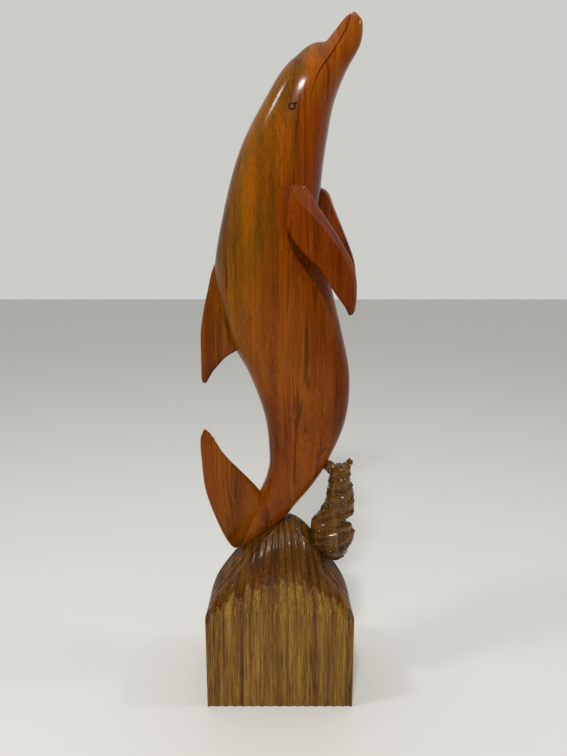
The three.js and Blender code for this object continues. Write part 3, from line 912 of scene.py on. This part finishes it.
def eye_stain(n, colour):
    for x, out, height, inner, outer in EYES:
        for side in (-1, 1):
            measured = n.add("ShaderNodeVectorMath", operation="DISTANCE")
            n.feed(measured.inputs[0], n.place)
            n.feed(measured.inputs[1], (x, side * out, height))
            away = measured.outputs["Value"]
            burnt = n.times(n.ranged(away, inner - 0.0006, inner + 0.0004),
                            n.ranged(away, outer + 0.0004, outer - 0.0006))
            colour = n.mixed(colour, BURNT, n.times(burnt, 0.94))
    return colour


def varnished_wood():
    n = Nodes("varnished_wood")
    cloud = n.noise(n.mapped((1 / 0.06, 1 / 0.06, 1 / 0.16)), 1.0, 2.0)
    bands = n.noise(n.mapped((1 / 0.024, 1 / 0.05, 1 / 0.6)), 1.0, 2.0, 0.5, 0.2)
    streaks = n.noise(grain(n, 0.0019, 0.16), 1.0, 4.0, 0.65)
    fibres = n.noise(grain(n, 0.0007, 0.02), 1.0, 2.0, 0.5)
    tone = weighted(n, (cloud, 0.28), (bands, 0.32), (streaks, 0.24), (fibres, 0.16))
    colour = eye_stain(n, growth_lines(n, red_and_gold(n, tone, cloud, bands)))
    n.feed(n.shader.inputs["Base Color"], colour)
    for setting, value in (("Roughness", 0.5), ("Specular IOR Level", 0.0),
                           ("Coat Weight", 1.0), ("Coat Roughness", 0.16),
                           ("Coat IOR", 1.22)):
        n.shader.inputs[setting].default_value = value
    n.bumped(streaks, 0.025, 0.0006)
    return n.material


# From here on, a wall counts as facing sideways and its flutes are counted along the depth.
SIDEWAYS = 0.72


def flute_share(n, x, y, z):
    """How far across its flute a point is, as in fluted_point above."""
    up = n.ranged(z, BLOCK_HEIGHT * MM, DOME_HEIGHT * MM, smooth=False)
    narrow = n.maths("MULTIPLY_ADD", n.maths("POWER", up, FLUTE_NARROWING_POWER),
                     -FLUTE_NARROWING, 1.0)
    facing = n.add("ShaderNodeSeparateXYZ")
    n.feed(facing.inputs["Vector"], n.place.node.outputs["Normal"])
    sideways = n.maths("GREATER_THAN", n.maths("ABSOLUTE", facing.outputs["X"]), SIDEWAYS)
    wide = n.maths("MULTIPLY", x, FLUTES_WIDE / BASE_WIDTH / MM)
    deep = n.maths("MULTIPLY", y, FLUTES_DEEP / BASE_DEPTH / MM)
    step = n.maths("SUBTRACT", deep, wide)
    place = n.maths("MULTIPLY_ADD", sideways, step, wide)
    return n.maths("FLOORED_MODULO", n.maths("DIVIDE", place, narrow), 1.0)


def half_varnished(n, matte, gloss):
    """Varnish that stops in brush strokes along an arch across the block, and hollows in shade.

    Gives the colour and how much varnish there is.
    """
    x, y, z = n.xyz()
    share = flute_share(n, x, y, z)
    stroke = n.noise(n.mapped((1 / 0.01, 1 / 0.02, 0.0)), 1.0, 1.0)
    arch = n.maths("ADD", n.times(x, x, VARNISH_ARCH), VARNISH_HEIGHT)
    wander = n.times(n.maths("SUBTRACT", stroke, 0.5), BRUSH_WANDER)
    above = n.maths("SUBTRACT", z, n.maths("ADD", arch, wander))
    varnish = n.ranged(above, -0.0015, 0.0015)
    # A wet band of amber just over the edge, darker higher up.
    amber = n.mixed(matte, AMBER, 1.0, "MULTIPLY")
    glossy = n.mixed(amber, gloss, n.ranged(above, 0.012, 0.034))
    hollow = n.times(n.ranged(share, 0.5, 0.9), n.ranged(share, 1.0, 0.94))
    shaded = n.times(hollow, n.ranged(z, 0.15, 0.2, 0.32, 0.6))
    return n.mixed(n.mixed(matte, glossy, varnish), HOLLOW_SHADE, shaded), varnish


def base_wood(name, all_glossy):
    n = Nodes(name)
    bands = n.noise(n.mapped((1 / 0.013, 1 / 0.03, 1 / 0.5)), 1.0, 2.0, 0.6, 0.3)
    streaks = n.noise(grain(n, 0.0012, 0.05), 1.0, 3.0, 0.65)
    tone = weighted(n, (bands, 0.4), (streaks, 0.6))
    matte, gloss = n.ramp(tone, BARE_WOOD), n.ramp(tone, VARNISHED_BASE)
    if all_glossy:
        colour = n.mixed(gloss, matte, 0.2)
        roughness, shine = 0.2, 0.4
    else:
        colour, varnish = half_varnished(n, matte, gloss)
        roughness, shine = n.ranged(varnish, 0, 1, 0.7, 0.16, False), 0.3
    pores = n.ranged(n.noise(grain(n, 0.0009, 0.016), 1.0, 1.0), 0.58, 0.72, 0, 0.5)
    n.feed(n.shader.inputs["Base Color"], n.mixed(colour, BASE_PORE, pores))
    n.feed(n.shader.inputs["Roughness"], roughness)
    n.shader.inputs["Specular IOR Level"].default_value = shine
    n.bumped(streaks, 0.06 if all_glossy else 0.25, 0.0008)
    return n.material


# Putting it together

def dress(piece, material):
    piece.data.materials.clear()
    piece.data.materials.append(material)
    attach(piece, "root")


def main():
    make_camera()
    make_floor()
    make_lights()
    dolphin = make_dolphin()
    block = make_block()
    coral = make_coral()
    dress(dolphin, varnished_wood())
    dress(block, base_wood("block_wood", False))
    dress(coral, base_wood("coral_wood", True))
    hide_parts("dolphin")
    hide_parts("coral_base")


main()
